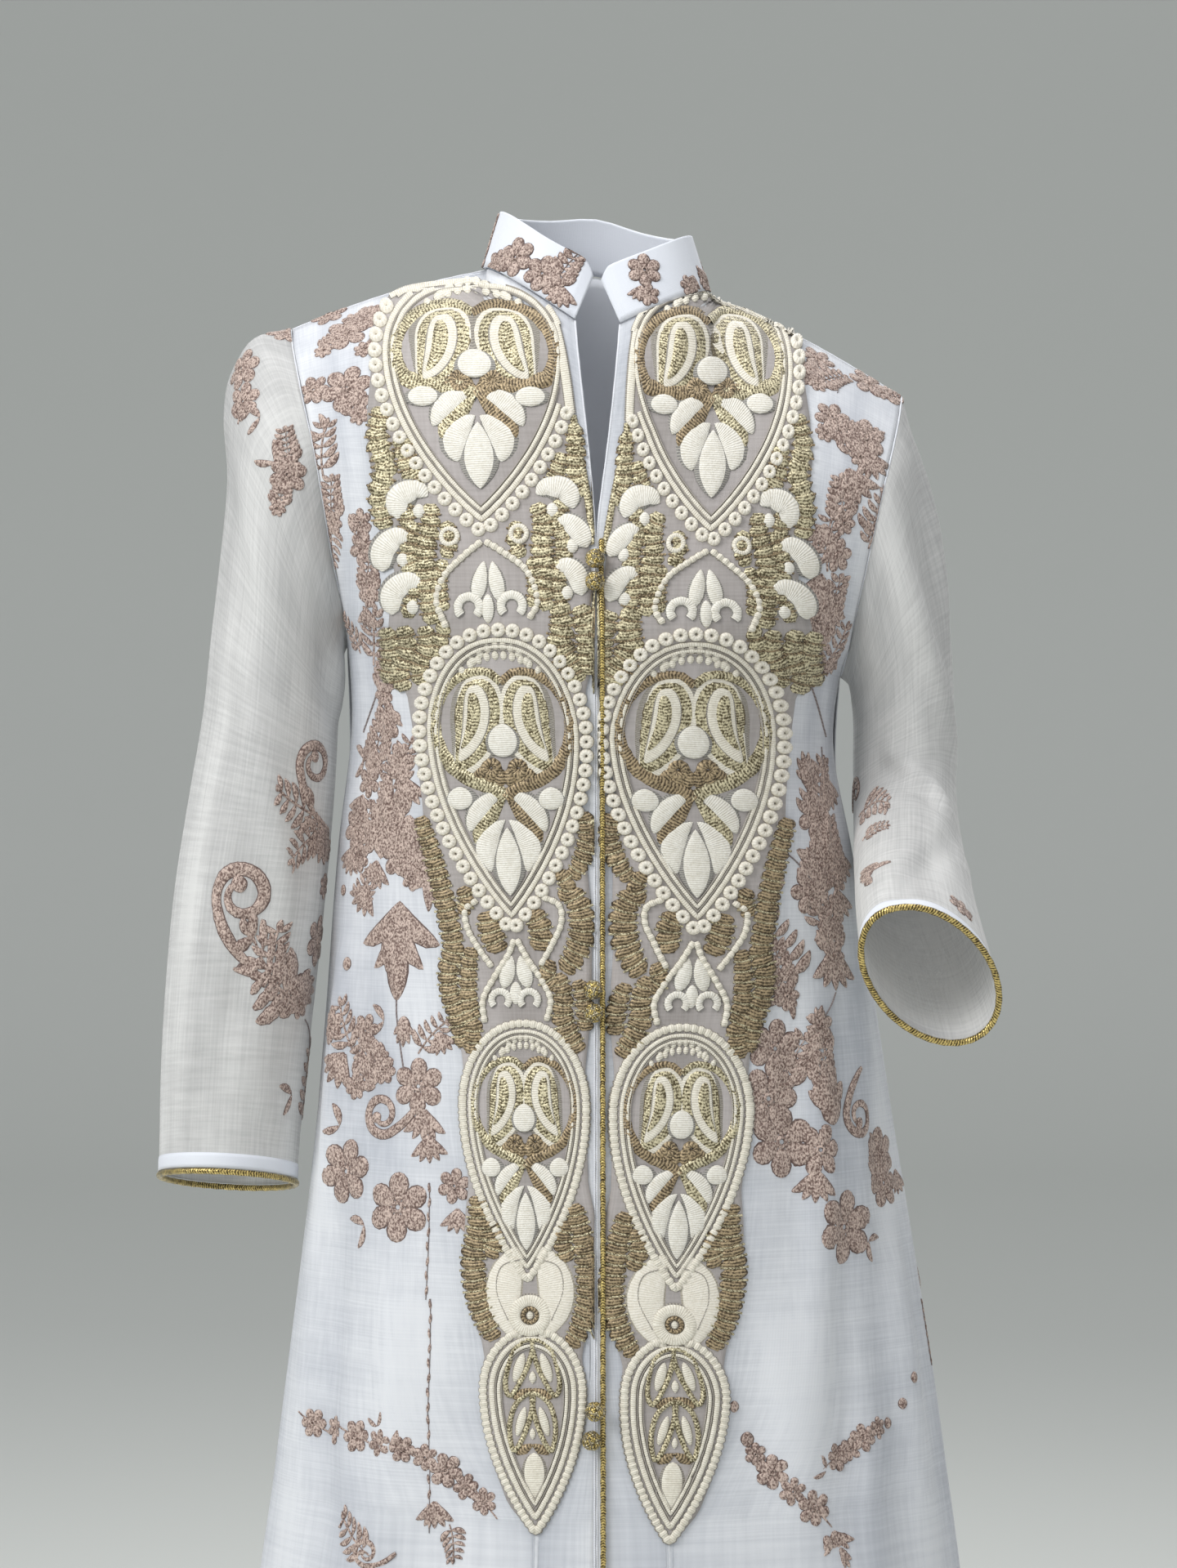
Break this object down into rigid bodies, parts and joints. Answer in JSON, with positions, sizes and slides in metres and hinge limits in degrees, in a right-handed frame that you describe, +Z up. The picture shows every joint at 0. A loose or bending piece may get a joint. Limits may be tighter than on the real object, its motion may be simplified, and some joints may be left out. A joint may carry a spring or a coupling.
{
  "type": "abaya",
  "caption": "Long open-front robe, worn and hollow, with a stand collar, set-in sleeves, raised front panels, lining, cord trim and ball knots.",
  "frame": {"origin": "middle of the neck's base, where the wearer's neck and shoulders hold the robe", "axes": "+Z up, the front faces -Y, the wearer's left side is at +X"},
  "size_m": [0.6227, 0.3977, 1.4697],
  "materials": {
    "voile": "sheer matt",
    "sleeve_voile": "sheer matt",
    "lining": "matt",
    "applique": "raised cord and metal thread",
    "gold": "metal thread"
  },
  "bodies": {
    "root": {"front_right": "voile", "front_left": "voile", "back": "voile", "collar": "voile", "sleeve_cap_right": "sleeve_voile", "sleeve_right": "sleeve_voile", "sleeve_left": "sleeve_voile", "lining_right": "lining", "lining_left": "lining", "lining_back": "lining", "applique_right": "applique", "applique_left": "applique", "cord_front": "gold", "piping_right": "gold", "piping_left": "gold", "knot_top_upper": "gold", "knot_top_lower": "gold", "knot_middle_upper": "gold", "knot_middle_lower": "gold", "knot_low_upper": "gold", "knot_low_lower": "gold"}
  },
  "joints": []
}
